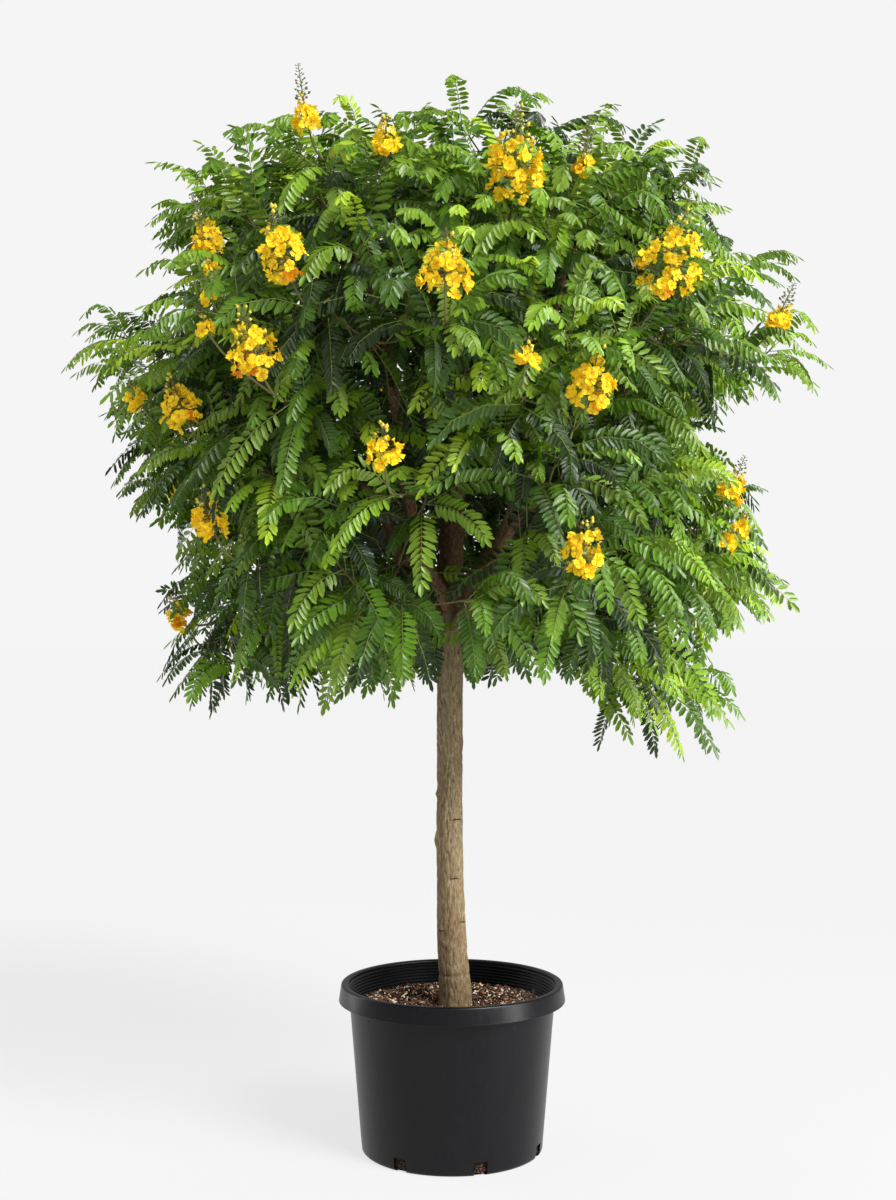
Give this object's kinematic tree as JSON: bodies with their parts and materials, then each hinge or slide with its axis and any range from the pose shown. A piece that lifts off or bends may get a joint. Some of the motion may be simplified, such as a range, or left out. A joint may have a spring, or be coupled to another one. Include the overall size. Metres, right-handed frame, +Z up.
{
  "type": "verawood tree",
  "caption": "Flowering verawood tree grown as a standard: bare trunk, round open crown of feathered leaves with yellow blossom, standing in a black nursery pot.",
  "frame": {"origin": "middle of the pot's flat underside", "axes": "+Z up along the trunk, -Y the front, +X the right as seen from the front"},
  "size_m": [1.6365, 1.6509, 2.3163],
  "materials": {
    "pot_plastic": "satin moulded black plastic",
    "potting_mix": "damp bark chips with white grains",
    "trunk_bark": "fissured tan-grey bark",
    "bough_bark": "thin brown bark",
    "foliage": "satin green leaves with yellow blossom"
  },
  "bodies": {
    "root": {"pot": "pot_plastic", "soil": "potting_mix", "trunk": "trunk_bark", "leader": "bough_bark", "left_bough": "bough_bark", "front_left_bough": "bough_bark", "front_right_bough": "bough_bark", "right_bough": "bough_bark", "back_bough": "bough_bark", "left_shoulder_limb": "bough_bark", "left_waist_limb": "bough_bark", "left_skirt_limb": "bough_bark", "front_left_shoulder_limb": "bough_bark", "front_left_waist_limb": "bough_bark", "front_left_skirt_limb": "bough_bark", "front_right_shoulder_limb": "bough_bark", "front_right_waist_limb": "bough_bark", "front_right_skirt_limb": "bough_bark", "right_shoulder_limb": "bough_bark", "right_waist_limb": "bough_bark", "right_skirt_limb": "bough_bark", "back_shoulder_limb": "bough_bark", "back_waist_limb": "bough_bark", "back_skirt_limb": "bough_bark", "crown_mass": "foliage", "left_top_mass": "foliage", "left_shoulder_mass": "foliage", "left_waist_mass": "foliage", "left_skirt_mass": "foliage", "front_left_top_mass": "foliage", "front_left_shoulder_mass": "foliage", "front_left_waist_mass": "foliage", "front_left_skirt_mass": "foliage", "front_right_top_mass": "foliage", "front_right_shoulder_mass": "foliage", "front_right_waist_mass": "foliage", "front_right_skirt_mass": "foliage", "right_top_mass": "foliage", "right_shoulder_mass": "foliage", "right_waist_mass": "foliage", "right_skirt_mass": "foliage", "back_top_mass": "foliage", "back_shoulder_mass": "foliage", "back_waist_mass": "foliage", "back_skirt_mass": "foliage"}
  },
  "joints": []
}
